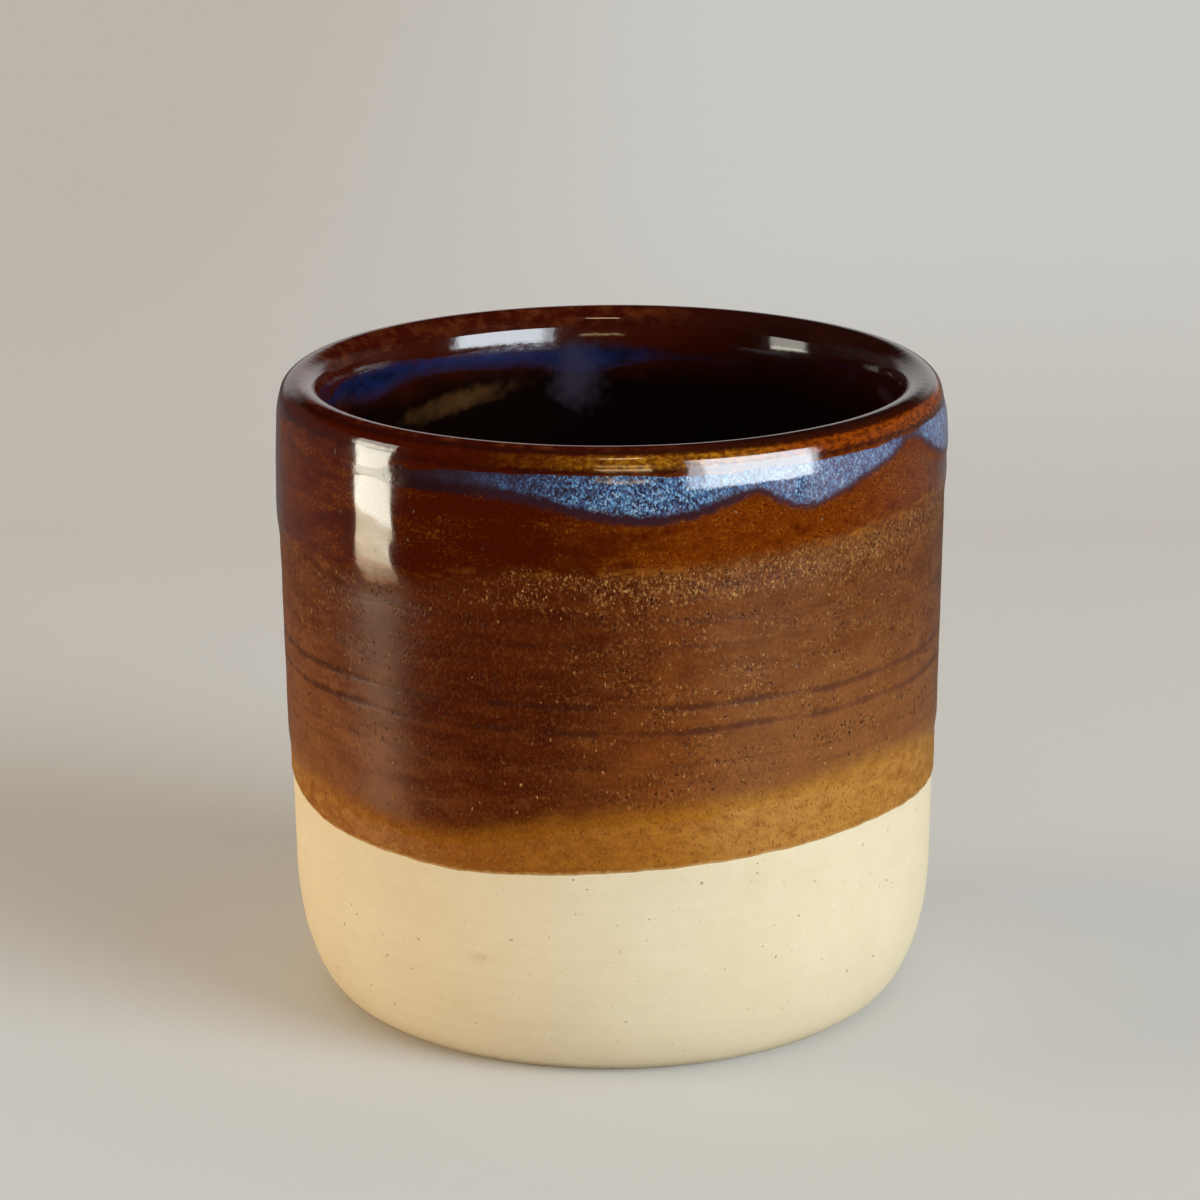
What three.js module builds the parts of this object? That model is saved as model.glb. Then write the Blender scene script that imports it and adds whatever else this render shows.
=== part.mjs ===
// Handleless espresso cup, thrown in pale stoneware and dipped in coloured glazes.
// Millimetres, +Z up. The foot stands on Z = 0 and the side with the longest blue run faces -Y.
// The clay is one fired piece. Each glaze coat is a thin solid that lies on the coat beneath it,
// face to face, in the order in which the cup was dipped.

import * as THREE from 'three';

// The thrown clay: a wall that flares to the belly and is drawn in again to the lip
const height = 58.7;
const bellyRadius = 30.5;
const wallFlare = 0.58;
const lipDrawnIn = 0.3;
const bellyBelowLip = 10;
const wallAtHeel = 3.9;
const lipWidth = 3.33;
const lipRise = 1.67;
const floorThickness = 5;
const cavityCorner = 9;

// Turned foot: a deep soft heel, and a narrow bevel above the flat base
const heelHeight = 13;
const heelDepth = 5.44;
const bevelHeight = 0.9;
const bevelWidth = 1.3;

// Glaze thickness, coat by coat
const firstDip = 0.15;
const secondDip = 0.15;
const rimDip = 0.2;
const blueRun = 0.15;
const liner = 0.25;
const lipCoat = 0.35;

// Every glaze edge thins out over this height, and stays this far from the level facet rows
const feather = 0.5;
const rowClearance = 0.1;

// How far each glaze edge tilts with the dip, and how far it sways up and down round the wall
const glazeLineTilt = 0.25;
const glazeLineSway = 0.85;
const secondDipTilt = 0.7;
const secondDipSway = 1.65;
const rimDipTilt = 1.7;
const rimDipSway = 0.3;
const blueLowTilt = 0.2;
const blueLowSway = 0.9;
const blueTopTilt = 0.15;
const blueTopSway = 0.15;
const innerBlueLowTilt = 0.35;
const innerBlueLowSway = 0.5;
const innerBlueTopTilt = 0.3;
const innerBlueTopSway = 0.15;

// Narrowest width of each band, between the edges that thin out
const bareClayBand = 6.6;
const ochreBand = 0.5;
const amberBand = 0.1;
const blueBand = 0.5;
const glossBand = 3.45;

// Facets
const columns = 64;
const heelSteps = 7;
const lipSteps = 8;
const cornerSteps = 6;

// The wave of each glaze edge, with the directions of its high points in degrees
const glazeLineWave = { tilt: glazeLineTilt, tiltAt: -150, sway: glazeLineSway, lobes: 2, swayAt: 51 };
const secondDipWave = { tilt: secondDipTilt, tiltAt: 110, sway: secondDipSway, lobes: 2, swayAt: 43 };
const rimDipWave = { tilt: rimDipTilt, tiltAt: 80, sway: rimDipSway, lobes: 2, swayAt: 0 };
const blueLowWave = { tilt: blueLowTilt, tiltAt: -90, sway: blueLowSway, lobes: 10, swayAt: 23 };
const blueTopWave = { tilt: blueTopTilt, tiltAt: 60, sway: blueTopSway, lobes: 5, swayAt: 30 };
const innerBlueLowWave = {
  tilt: innerBlueLowTilt,
  tiltAt: -130,
  sway: innerBlueLowSway,
  lobes: 6,
  swayAt: 215,
};
const innerBlueTopWave = {
  tilt: innerBlueTopTilt,
  tiltAt: -110,
  sway: innerBlueTopSway,
  lobes: 5,
  swayAt: 200,
};

// An edge placed so that its lowest or its highest point comes at a given height
function reach(wave) {
  return wave.tilt + wave.sway;
}

function edgeAbove(height, wave) {
  return { ...wave, level: height + reach(wave) };
}

function edgeBelow(height, wave) {
  return { ...wave, level: height - reach(wave) };
}

function lowest(edge) {
  return edge.level - reach(edge);
}

function highest(edge) {
  return edge.level + reach(edge);
}

// Glaze edges from the foot up
const glazeLine = edgeAbove(heelHeight + bareClayBand, glazeLineWave);
const glazeRow = highest(glazeLine) + feather + rowClearance;
const secondDipEdge = edgeAbove(glazeRow + ochreBand, secondDipWave);
const satinRow = highest(secondDipEdge) + feather + rowClearance;

// Glaze edges from the lip down, outside and in the bore
const lipRow = height - lipRise;
const blueTop = edgeBelow(lipRow - amberBand, blueTopWave);
const blueRow = lowest(blueTop) - feather - rowClearance;
const blueLow = edgeBelow(blueRow - blueBand - feather, blueLowWave);
const glossRow = lowest(blueLow) - rowClearance;
const rimDipEdge = edgeBelow(glossRow - glossBand - feather, rimDipWave);
const innerBlueTop = edgeBelow(lipRow - amberBand, innerBlueTopWave);
const innerBlueRow = lowest(innerBlueTop) - feather - rowClearance;
const innerBlueLow = edgeBelow(innerBlueRow - blueBand - feather, innerBlueLowWave);

function edgeHeight(edge, azimuth) {
  const tilt = edge.tilt * Math.cos(azimuth - THREE.MathUtils.degToRad(edge.tiltAt));
  const sway = edge.sway * Math.cos(edge.lobes * (azimuth - THREE.MathUtils.degToRad(edge.swayAt)));
  return edge.level + tilt + sway;
}

// Outer surface of the clay: a straight flare up to the belly, then drawn in to the lip
const bellyHeight = lipRow - bellyBelowLip;
const heelRadius = bellyRadius - wallFlare;

function clayWall(level) {
  const upToBelly = (level - heelHeight) / (bellyHeight - heelHeight);
  const aboveBelly = Math.max(0, (level - bellyHeight) / bellyBelowLip);
  const flared = heelRadius + wallFlare * Math.min(1, upToBelly);
  return new THREE.Vector2(flared - lipDrawnIn * aboveBelly ** 2, level);
}

// Inner surface of the clay: the wall thins from the heel to the lip
const lipStack = firstDip + secondDip + rimDip;
const clayAtLip = lipWidth - lipStack - liner;

function clayBore(level) {
  const up = (level - heelHeight) / (lipRow - heelHeight);
  const wall = THREE.MathUtils.lerp(wallAtHeel, clayAtLip, up);
  return new THREE.Vector2(clayWall(level).x - wall, level);
}

function thickened(surface, amount) {
  return surface.map((point) => new THREE.Vector2(point.x + amount, point.y));
}

// The surfaces that coats lie on hold their straight facets between these level rows
const wallRows = [heelHeight, glazeRow, satinRow, (satinRow + glossRow) / 2, glossRow, blueRow, lipRow];
const clayOutside = wallRows.map(clayWall);
const firstDipOutside = thickened(clayOutside, firstDip);
const secondDipOutside = thickened(firstDipOutside, secondDip);
const rimDipOutside = thickened(secondDipOutside, rimDip);

const cornerTop = floorThickness + cavityCorner;
const boreRows = [cornerTop, (cornerTop + innerBlueRow) / 2, innerBlueRow, lipRow];
const clayInside = boreRows.map(clayBore);
const linerInside = thickened(clayInside, -liner);

// Point of a faceted surface at any height, so that it lies exactly on the facet
function pointOn(surface, level) {
  const next = surface.findIndex((point, index) => index > 0 && point.y >= level);
  const upper = surface[next === -1 ? surface.length - 1 : next];
  const lower = surface[surface.indexOf(upper) - 1];
  const up = (level - lower.y) / (upper.y - lower.y);
  return new THREE.Vector2(THREE.MathUtils.lerp(lower.x, upper.x, up), level);
}

// Stretch of a surface between two heights, upwards
function stretch(surface, low, high) {
  const between = surface.filter((point) => point.y > low && point.y < high);
  return [pointOn(surface, low), ...between, pointOn(surface, high)];
}

function arc(centre, across, up, from, to, steps) {
  const curve = new THREE.EllipseCurve(centre.x, centre.y, across, up, from, to, to < from);
  return curve.getPoints(steps);
}

// Solid of revolution whose profile may shift a little from column to column
function turned(name, profileAt, look) {
  const rows = profileAt(0).length;
  const geometry = new THREE.LatheGeometry(profileAt(0), columns);
  const position = geometry.getAttribute('position');
  for (let column = 0; column <= columns; column += 1) {
    const azimuth = ((column % columns) / columns) * 2 * Math.PI;
    profileAt(azimuth).forEach((point, row) => {
      const across = point.x * Math.sin(azimuth);
      position.setXYZ(column * rows + row, across, point.y, point.x * Math.cos(azimuth));
    });
  }
  geometry.rotateX(Math.PI / 2);
  geometry.computeVertexNormals();
  const mesh = new THREE.Mesh(geometry, new THREE.MeshStandardMaterial(look));
  mesh.name = name;
  return mesh;
}

// Rounded lip between two surfaces that end at the lip row, from the outside over to the bore
function lipArc(outside, inside, rise) {
  const across = (outside.at(-1).x - inside.at(-1).x) / 2;
  const centre = new THREE.Vector2(inside.at(-1).x + across, lipRow);
  return arc(centre, across, rise, 0, Math.PI, lipSteps);
}

const clayLip = lipArc(clayOutside, clayInside, lipRise - lipCoat);
const glazeLip = lipArc(rimDipOutside, linerInside, lipRise);

// Rounded corner between bore and floor, from the wall down to the floor
function cornerArc(coat) {
  const centre = new THREE.Vector2(clayInside[0].x - cavityCorner, cornerTop);
  const radius = cavityCorner - coat;
  return arc(centre, radius, radius, 0, -Math.PI / 2, cornerSteps);
}

// The thrown and turned clay: foot, heel, wall, rounded lip, bore and floor
function clayProfile() {
  const heelCentre = new THREE.Vector2(heelRadius - heelDepth, heelHeight);
  const bevelTop = -Math.asin((heelHeight - bevelHeight) / heelHeight);
  const heel = arc(heelCentre, heelDepth, heelHeight, bevelTop, 0, heelSteps);
  return [
    new THREE.Vector2(0, 0),
    new THREE.Vector2(heel[0].x - bevelWidth, 0),
    ...heel.slice(0, -1),
    ...clayOutside,
    ...clayLip.slice(1, -1),
    ...clayInside.toReversed(),
    ...cornerArc(0).slice(1),
    new THREE.Vector2(0, floorThickness),
  ];
}

// The inside coat, from the middle of the floor to the lip
function linerProfile() {
  return [
    new THREE.Vector2(0, floorThickness),
    ...cornerArc(0).slice(1).toReversed(),
    ...clayInside,
    ...linerInside.toReversed(),
    ...cornerArc(liner).slice(1),
    new THREE.Vector2(0, floorThickness + liner),
  ];
}

// A dipped outside coat, from its own swaying edge up to the lip
function dipProfile(under, over, edge) {
  return (azimuth) => {
    const low = edgeHeight(edge, azimuth);
    const back = stretch(under, low, lipRow);
    const front = stretch(over, low + feather, lipRow);
    return [back[0], ...front, ...back.toReversed()];
  };
}

// A band of blue that ran down from the rim and thins out at both edges.
// Side is 1 on the outside of the wall and -1 in the bore.
function bandProfile(under, lowEdge, topEdge, side) {
  return (azimuth) => {
    const low = edgeHeight(lowEdge, azimuth);
    const top = edgeHeight(topEdge, azimuth);
    const back = stretch(under, low, top);
    const over = thickened(under, side * blueRun);
    const front = stretch(over, low + feather, top - feather);
    const loop = [...front, ...back.toReversed(), front[0]];
    return side > 0 ? loop : loop.toReversed();
  };
}

// The thin coat over the rounded lip, seated on the clay and on the ends of the other coats
function lipProfile() {
  return [...glazeLip, ...clayLip.toReversed(), glazeLip[0]];
}

const looks = {
  clay: { color: 0xe6d6ad, roughness: 0.85, metalness: 0 },
  ochre: { color: 0x7a5226, roughness: 0.4, metalness: 0 },
  brown: { color: 0x59300f, roughness: 0.35, metalness: 0 },
  glossBrown: { color: 0x3d1606, roughness: 0.1, metalness: 0 },
  blue: { color: 0x3a5486, roughness: 0.15, metalness: 0 },
  amber: { color: 0x6e340b, roughness: 0.1, metalness: 0 },
  darkBrown: { color: 0x1c0a05, roughness: 0.1, metalness: 0 },
};

const cup = new THREE.Group();
cup.add(
  turned('clay_body', clayProfile, looks.clay),
  turned('liner_glaze', linerProfile, looks.darkBrown),
  turned('first_dip_glaze', dipProfile(clayOutside, firstDipOutside, glazeLine), looks.ochre),
  turned('second_dip_glaze', dipProfile(firstDipOutside, secondDipOutside, secondDipEdge), looks.brown),
  turned('rim_dip_glaze', dipProfile(secondDipOutside, rimDipOutside, rimDipEdge), looks.glossBrown),
  turned('outer_blue_band', bandProfile(rimDipOutside, blueLow, blueTop, 1), looks.blue),
  turned('inner_blue_band', bandProfile(linerInside, innerBlueLow, innerBlueTop, -1), looks.blue),
  turned('lip_glaze', lipProfile, looks.amber),
);

export default cup;
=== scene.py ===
import math

import bpy
import numpy as np
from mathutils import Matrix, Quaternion, Vector, noise


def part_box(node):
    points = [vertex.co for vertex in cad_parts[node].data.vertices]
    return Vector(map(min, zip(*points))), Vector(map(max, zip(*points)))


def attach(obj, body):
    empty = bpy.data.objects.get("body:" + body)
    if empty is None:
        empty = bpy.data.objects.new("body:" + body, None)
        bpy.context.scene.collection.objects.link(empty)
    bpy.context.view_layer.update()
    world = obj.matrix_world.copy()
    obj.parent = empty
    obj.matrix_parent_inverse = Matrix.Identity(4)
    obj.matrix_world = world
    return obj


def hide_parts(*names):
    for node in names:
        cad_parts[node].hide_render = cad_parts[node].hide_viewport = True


# Espresso cup: pale thrown stoneware under dipped coats of brown glaze, with a blue run below the lip.
# Sizes are in millimetres and times mm where they go into Blender. Azimuth 0 faces the camera (-Y),
# 90 is the right-hand side (+X) and 180 the far side.

mm = 0.001
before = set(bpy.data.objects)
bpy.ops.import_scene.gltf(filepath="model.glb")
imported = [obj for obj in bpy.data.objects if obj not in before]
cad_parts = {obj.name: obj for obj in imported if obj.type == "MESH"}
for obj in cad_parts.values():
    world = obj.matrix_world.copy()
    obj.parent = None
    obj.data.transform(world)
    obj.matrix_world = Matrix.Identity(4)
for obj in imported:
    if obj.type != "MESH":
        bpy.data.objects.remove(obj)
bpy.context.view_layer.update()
print("frame loaded:", len(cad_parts), "nodes")


# Curves

def smoothThrough(knots, values, where):
    slopes = np.gradient(values, knots)
    start = np.clip(np.searchsorted(knots, where, side="right") - 1, 0, len(knots) - 2)
    gap = knots[start + 1] - knots[start]
    t = (where - knots[start]) / gap
    return (
        (2 * t**3 - 3 * t**2 + 1) * values[start]
        + (t**3 - 2 * t**2 + t) * gap * slopes[start]
        + (3 * t**2 - 2 * t**3) * values[start + 1]
        + (t**3 - t**2) * gap * slopes[start + 1]
    )


def aroundCup(points, azimuth):
    # closed curve through (azimuth, value) points, azimuth in degrees
    turn = np.array(points, float)
    knots = np.concatenate([turn[:, 0] - 360, turn[:, 0], turn[:, 0] + 360])
    return smoothThrough(knots, np.tile(turn[:, 1], 3), azimuth)


def alongOutline(points, steps):
    # smooth outline through (radius, height) points
    outline = np.array(points, float)
    lengths = np.concatenate([[0], np.cumsum(np.hypot(*np.diff(outline, axis=0).T))])
    where = np.linspace(0, lengths[-1], steps + 1)
    return np.stack([smoothThrough(lengths, outline[:, i], where) for i in (0, 1)], axis=1)


def outlinePoints(radiusAt, heights, outward=0.0):
    return [(float(radiusAt(z)) + outward, float(z)) for z in heights]


def smoothStep(value, low, high):
    t = np.clip((value - low) / (high - low), 0, 1)
    return t * t * (3 - 2 * t)


def spiral(azimuth, along, pitch):
    # the wave that a finger leaves in turning clay
    return np.sin(2 * math.pi * (along / pitch + azimuth / 360))


def grain(azimuth, level, size, stretch, seed):
    # smooth noise from -1 to 1 on the wall, each patch about size wide and size/stretch high
    x = cup["bellyRadius"] * np.sin(np.radians(azimuth)) / size
    y = cup["bellyRadius"] * np.cos(np.radians(azimuth)) / size
    z = level * stretch / size + seed
    return np.array([noise.noise(Vector(point)) for point in zip(x, y, z)])


def grainRound(azimuth, size, seed):
    # the same at every height
    return grain(azimuth, 0 * azimuth, size, 0, seed)


# The cup's form

cup = {
    "height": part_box("lip_glaze")[1].z / mm,
    "bellyRadius": 30.5,
    "wallFlare": 0.58,
    "lipDrawnIn": 0.3,
    "bellyBelowLip": 10,
    "lipRise": 1.67,
    "easeHeight": 1.8,
    "easeDepth": 0.18,
    "heelHeight": 13,
    "heelDepth": 5.44,
    "bevelHeight": 0.9,
    "bevelWidth": 1.3,
    "floorThickness": 5,
    "cavityCorner": 9,
    "tuck": 0.012,  # how far each coat reaches into the one beneath it
}
lipRow = cup["height"] - cup["lipRise"]
heelRadius = cup["bellyRadius"] - cup["wallFlare"]
cavityTurn = cup["floorThickness"] + cup["cavityCorner"]  # height where the bore leaves its rounded corner

coatThickness = {
    "firstDip": 0.15, "secondDip": 0.15, "rimDip": 0.2, "blueRun": 0.15, "liner": 0.25, "lip": 0.35,
}

# where each glaze edge runs round the wall: (azimuth, height)
edges = {
    "glazeLine": [
        (-165, 21.0), (-129, 21.7), (-95, 21.5), (-77, 21.1), (-58, 20.1), (-40, 19.8), (-28, 19.6),
        (-10, 20.1), (5, 20.5), (25, 21.0), (50, 21.4), (75, 21.1), (100, 20.5), (140, 19.9),
    ],
    "secondDip": [
        (-160, 25.0), (-137, 25.5), (-105, 24.4), (-80, 23.2), (-53, 22.1), (-39, 21.5), (-27, 21.7),
        (-12, 23.5), (8, 24.6), (30, 25.3), (52, 26.0), (76, 25.0), (105, 23.8), (135, 23.2), (165, 24),
    ],
    "rimDip": [
        (-160, 44.9), (-100, 43.6), (-70, 43.1), (-47, 43.2), (-34, 43.9), (-20, 45.4), (-2, 45.7),
        (14, 46.0), (32, 46.6), (59, 47.3), (90, 47.2), (125, 46.6), (165, 45.6),
    ],
    "blueLow": [
        (-174, 54.2), (-158, 53.3), (-144, 54.3), (-120, 54.5), (-104, 53.6), (-88, 54.6), (-68, 54.8),
        (-50, 54.4), (-37, 54.4), (-23, 54.6), (-13, 54.2), (-4, 53.1), (4, 52.5), (11, 52.7),
        (19, 53.7), (24, 54.3), (29, 52.9), (34, 52.2), (39, 52.7), (46, 53.85), (54, 54.8), (59, 55.8),
        (64, 55.1), (70, 53.5), (80, 52.2), (90, 52.2), (104, 52.7), (118, 53.8), (136, 53.9),
        (150, 52.6), (167, 53.8),
    ],
    "blueTop": [
        (-150, 56.7), (-100, 56.8), (-60, 56.6), (-36, 56.85), (-18, 56.95), (-6, 56.95), (4, 56.95),
        (10, 56.8), (16, 56.8), (24, 56.9), (42, 56.75), (64, 56.95), (76, 56.95), (86, 56.8),
        (100, 56.6), (150, 56.8),
    ],
    "innerBlueLow": [
        (-179, 51.9), (-175, 51.2), (-171, 51.6), (-166, 52.6), (-152, 53.1), (-132, 53.3),
        (-121, 52.5), (-104, 53.6), (-70, 53.8), (-40, 53.0), (-12, 53.9), (20, 53.0), (50, 53.9),
        (90, 53.2), (125, 54.0), (152, 53.4), (166, 53.2), (175, 52.7),
    ],
    "innerBlueTop": [
        (-178, 56.0), (-165, 55.9), (-146, 56.0), (-130, 56.5), (-110, 56.8), (-60, 56.6), (0, 56.3),
        (60, 56.5), (110, 55.9), (150, 55.1), (165, 55.2),
    ],
}

# how strongly the blue shows round the lip: (azimuth, strength)
blueStrength = {
    "outside": [
        (-180, 0.7), (-150, 0.45), (-110, 0.2), (-80, 0.0), (-52, 0.02), (-38, 0.06), (-26, 0.24),
        (-15, 0.5), (-4, 0.92), (8, 1.05), (22, 0.9), (38, 1.1), (47, 0.95), (54, 0.75), (60, 0.45),
        (67, 0.9), (78, 1.25), (110, 0.5), (145, 0.9),
    ],
    "inside": [
        (-175, 0.5), (-165, 0.62), (-150, 0.66), (-130, 0.58), (-110, 0.48), (-70, 0.4), (-20, 0.3),
        (40, 0.35), (90, 0.3), (125, 0.05), (150, 0.14), (166, 0.42), (178, 0.55),
    ],
}

# how thin and golden the brown glaze is round the cup: (azimuth, share)
glazeWarmth = [
    (-180, 0.45), (-140, 0.5), (-110, 0.6), (-85, 0.6), (-66, 0.34), (-50, 0.18), (-36, 0.02),
    (-14, 0.02), (-4, 0.24), (6, 0.42), (17, 0.6), (32, 0.64), (55, 0.6), (85, 0.52), (115, 0.56),
    (150, 0.5),
]

nicks = {"size": 2.2, "depth": 0.09, "fineSize": 0.7, "fineDepth": 0.035, "seedStep": 40, "fineSeed": 9}


def edgeAt(name, azimuth):
    seed = list(edges).index(name) * nicks["seedStep"]
    coarse = grainRound(azimuth, nicks["size"], seed)
    fine = grainRound(azimuth, nicks["fineSize"], seed + nicks["fineSeed"])
    return aroundCup(edges[name], azimuth) + nicks["depth"] * coarse + nicks["fineDepth"] * fine


def clayWall(level):
    bellyHeight = lipRow - cup["bellyBelowLip"]
    upToBelly = np.minimum(1, (level - cup["heelHeight"]) / (bellyHeight - cup["heelHeight"]))
    aboveBelly = np.maximum(0, (level - bellyHeight) / cup["bellyBelowLip"])
    wall = heelRadius + cup["wallFlare"] * upToBelly - cup["lipDrawnIn"] * aboveBelly**2
    intoLip = np.maximum(0, (level - lipRow) / cup["easeHeight"] + 1)
    wall = wall - cup["easeDepth"] * intoLip**2
    down = np.clip((cup["heelHeight"] - level) / cup["heelHeight"], 0, 1)
    heel = heelRadius - cup["heelDepth"] * (1 - np.sqrt(1 - down**2))
    return np.where(level < cup["heelHeight"], heel, wall)


# marks of throwing and turning in the clay, which every coat follows
throwing = {
    "ringDepth": 0.008,
    "ringPitch": 4.5,
    "unevenness": 0.03,
    "unevenSize": 14,
    "grooves": [35.6, 33.3],
    "grooveWidth": 0.4,
    "grooveDepth": 0.012,
    "grooveSway": 0.22,
    "swaySize": 16,
    "breakSize": 3.5,
}
# slight pooling of the melted glaze: depth, size, stretch and seed
pooling = [(0.02, 3.2, 1, 21), (0.008, 1.1, 0.6, 31)]


def throwingMarks(azimuth, level):
    relief = throwing["ringDepth"] * spiral(azimuth, level, throwing["ringPitch"])
    relief += throwing["unevenness"] * grain(azimuth, level, throwing["unevenSize"], 0.7, 3)
    for groove in throwing["grooves"]:
        middle = groove + throwing["grooveSway"] * grainRound(azimuth, throwing["swaySize"], groove)
        broken = 0.55 + 0.75 * grainRound(azimuth, throwing["breakSize"], groove + 5)
        hollow = np.exp(-(((level - middle) / throwing["grooveWidth"]) ** 2))
        relief -= throwing["grooveDepth"] * np.clip(broken, 0.1, 1) * hollow
    return relief


def lumps(azimuth, level):
    return sum(depth * grain(azimuth, level, size, stretch, seed) for depth, size, stretch, seed in pooling)


# Meshes

def deselectAll():
    if bpy.context.object and bpy.context.object.mode != "OBJECT":
        bpy.ops.object.mode_set(mode="OBJECT")
    bpy.ops.object.select_all(action="DESELECT")


def selectOnly(piece):
    deselectAll()
    bpy.context.view_layer.objects.active = piece
    piece.select_set(True)


def startPiece(name, addPrimitive, **settings):
    # a primitive with its place in its mesh
    deselectAll()
    addPrimitive(**settings)
    piece = bpy.context.object
    piece.name = name
    bpy.ops.object.transform_apply(location=True, rotation=True, scale=True)
    return piece


def ringOfRows(name, columns, rows, low, high):
    # an upright open ring, cut into level rows
    ring = startPiece(
        name, bpy.ops.mesh.primitive_cylinder_add, vertices=columns, radius=cup["bellyRadius"] * mm,
        depth=(high - low) * mm, end_fill_type="NOTHING", location=(0, 0, (low + high) / 2 * mm),
    )
    bpy.ops.object.mode_set(mode="EDIT")
    bpy.ops.mesh.select_mode(type="EDGE")
    bpy.ops.mesh.select_all(action="DESELECT")
    bpy.ops.object.mode_set(mode="OBJECT")
    corners = ring.data.vertices
    for edge in ring.data.edges:
        lower, upper = (corners[i].co.z for i in edge.vertices)
        edge.select = abs(upper - lower) > mm / 10
    bpy.ops.object.mode_set(mode="EDIT")
    bpy.ops.mesh.subdivide(number_cuts=rows - 1)
    bpy.ops.object.mode_set(mode="OBJECT")
    return ring


def spunOutline(name, outline, columns):
    # draws the outline point by point and spins it round the cup's axis
    first = (outline[0][0] * mm, 0, outline[0][1] * mm)
    piece = startPiece(name, bpy.ops.mesh.primitive_plane_add, size=mm, location=first)
    bpy.ops.object.mode_set(mode="EDIT")
    bpy.ops.mesh.select_mode(type="VERT")
    bpy.ops.mesh.select_all(action="SELECT")
    bpy.ops.mesh.merge(type="CENTER")
    for across, up in np.diff(outline, axis=0):
        bpy.ops.mesh.extrude_region_move(TRANSFORM_OT_translate={"value": (across * mm, 0, up * mm)})
    bpy.ops.mesh.select_all(action="SELECT")
    bpy.ops.mesh.spin(steps=columns, angle=2 * math.pi, center=(0, 0, 0), axis=(0, 0, 1))
    bpy.ops.mesh.select_all(action="SELECT")
    bpy.ops.mesh.remove_doubles(threshold=mm / 1000)
    bpy.ops.mesh.normals_make_consistent(inside=False)
    bpy.ops.object.mode_set(mode="OBJECT")
    return piece


def flipFaces(piece):
    selectOnly(piece)
    bpy.ops.object.mode_set(mode="EDIT")
    bpy.ops.mesh.select_all(action="SELECT")
    bpy.ops.mesh.flip_normals()
    bpy.ops.object.mode_set(mode="OBJECT")


def readPlaces(piece):
    # azimuth in degrees, radius and height in millimetres of every vertex
    points = np.zeros(len(piece.data.vertices) * 3)
    piece.data.vertices.foreach_get("co", points)
    x, y, z = points.reshape(-1, 3).T / mm
    return np.degrees(np.arctan2(x, -y)), np.hypot(x, y), z


def setPlaces(piece, azimuth, across, level):
    turn = np.radians(azimuth)
    points = np.stack([across * np.sin(turn), -across * np.cos(turn), level], axis=1) * mm
    piece.data.vertices.foreach_set("co", points.ravel())
    piece.data.update()


def addAttributes(piece, **attributes):
    for name, values in attributes.items():
        attribute = piece.data.attributes.new(name, "FLOAT", "POINT")
        attribute.data.foreach_set("value", np.asarray(values, np.float32))


def rowHeights(share, stops):
    # stops say which share of the rows reaches which height: (share, heights)
    result = np.zeros_like(share)
    for (start, base), (end, top) in zip(stops[:-1], stops[1:]):
        part = np.clip((share - start) / (end - start), 0, 1)
        inside = (share >= start - 1e-6) & (share <= end + 1e-6)
        result = np.where(inside, base + (top - base) * part, result)
    return result


def thicken(piece, thickness, weights, side):
    # side 1 grows the coat out of the surface, -1 behind it
    coat = piece.vertex_groups.new(name="coat")
    for index, weight in enumerate(weights):
        coat.add([index], float(weight), "REPLACE")
    solidify = piece.modifiers.new("coat", "SOLIDIFY")
    solidify.thickness = thickness * mm
    solidify.offset = side
    solidify.use_even_offset = False
    solidify.vertex_group = "coat"
    selectOnly(piece)
    bpy.ops.object.modifier_apply(modifier="coat")
    piece.vertex_groups.clear()


def settle(piece, node, material, sharpAngle=50):
    selectOnly(piece)
    bpy.ops.object.shade_smooth_by_angle(angle=math.radians(sharpAngle))
    piece.data.materials.clear()
    piece.data.materials.append(material)
    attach(piece, "root")
    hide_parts(node)
    triangles = sum(len(face.vertices) - 2 for face in piece.data.polygons)
    print(piece.name, "made:", triangles, "triangles")


# Node helpers

class Wire:
    # an output of a node; arithmetic on it adds Math nodes
    def __init__(self, node, output=0):
        self.socket = node.outputs[output]

    def __add__(self, other):
        return calc("ADD", self, other)

    def __sub__(self, other):
        return calc("SUBTRACT", self, other)

    def __rsub__(self, other):
        return calc("SUBTRACT", other, self)

    def __mul__(self, other):
        return calc("MULTIPLY", self, other)

    def __truediv__(self, other):
        return calc("DIVIDE", self, other)

    def __rtruediv__(self, other):
        return calc("DIVIDE", other, self)

    def __abs__(self):
        return calc("ABSOLUTE", self)


def paint(red, green, blue):
    # a colour as it shows on screen, 0 to 255
    linear = [((v / 255 + 0.055) / 1.055) ** 2.4 if v > 10 else v / 255 / 12.92 for v in (red, green, blue)]
    return (*linear, 1)


def feed(node, name, value):
    # a wire is joined to the input, and a plain value is set on it
    if isinstance(value, Wire):
        node.id_data.links.new(value.socket, node.inputs[name])
    else:
        node.inputs[name].default_value = value


def addNode(kind, inputs, tree=None, **settings):
    # goes into the tree of the wires among its inputs, where no tree is given
    wires = [value for value in inputs.values() if isinstance(value, Wire)]
    node = (tree or wires[0].socket.id_data).nodes.new(kind)
    for name, value in settings.items():
        setattr(node, name, value)
    for name, value in inputs.items():
        feed(node, name, value)
    return node


def calc(operation, first, second=0.0, clamp=False):
    return Wire(addNode("ShaderNodeMath", {0: first, 1: second}, operation=operation, use_clamp=clamp))


def vectorCalc(operation, inputs, output=0):
    return Wire(addNode("ShaderNodeVectorMath", inputs, operation=operation), output)


def largest(values):
    top = values[0]
    for value in values[1:]:
        top = calc("MAXIMUM", top, value)
    return top


def ramp(value, low, high, start=0.0, end=1.0):
    places = {"Value": value, "From Min": low, "From Max": high, "To Min": start, "To Max": end}
    return Wire(addNode("ShaderNodeMapRange", places, interpolation_type="SMOOTHSTEP"))


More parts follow.
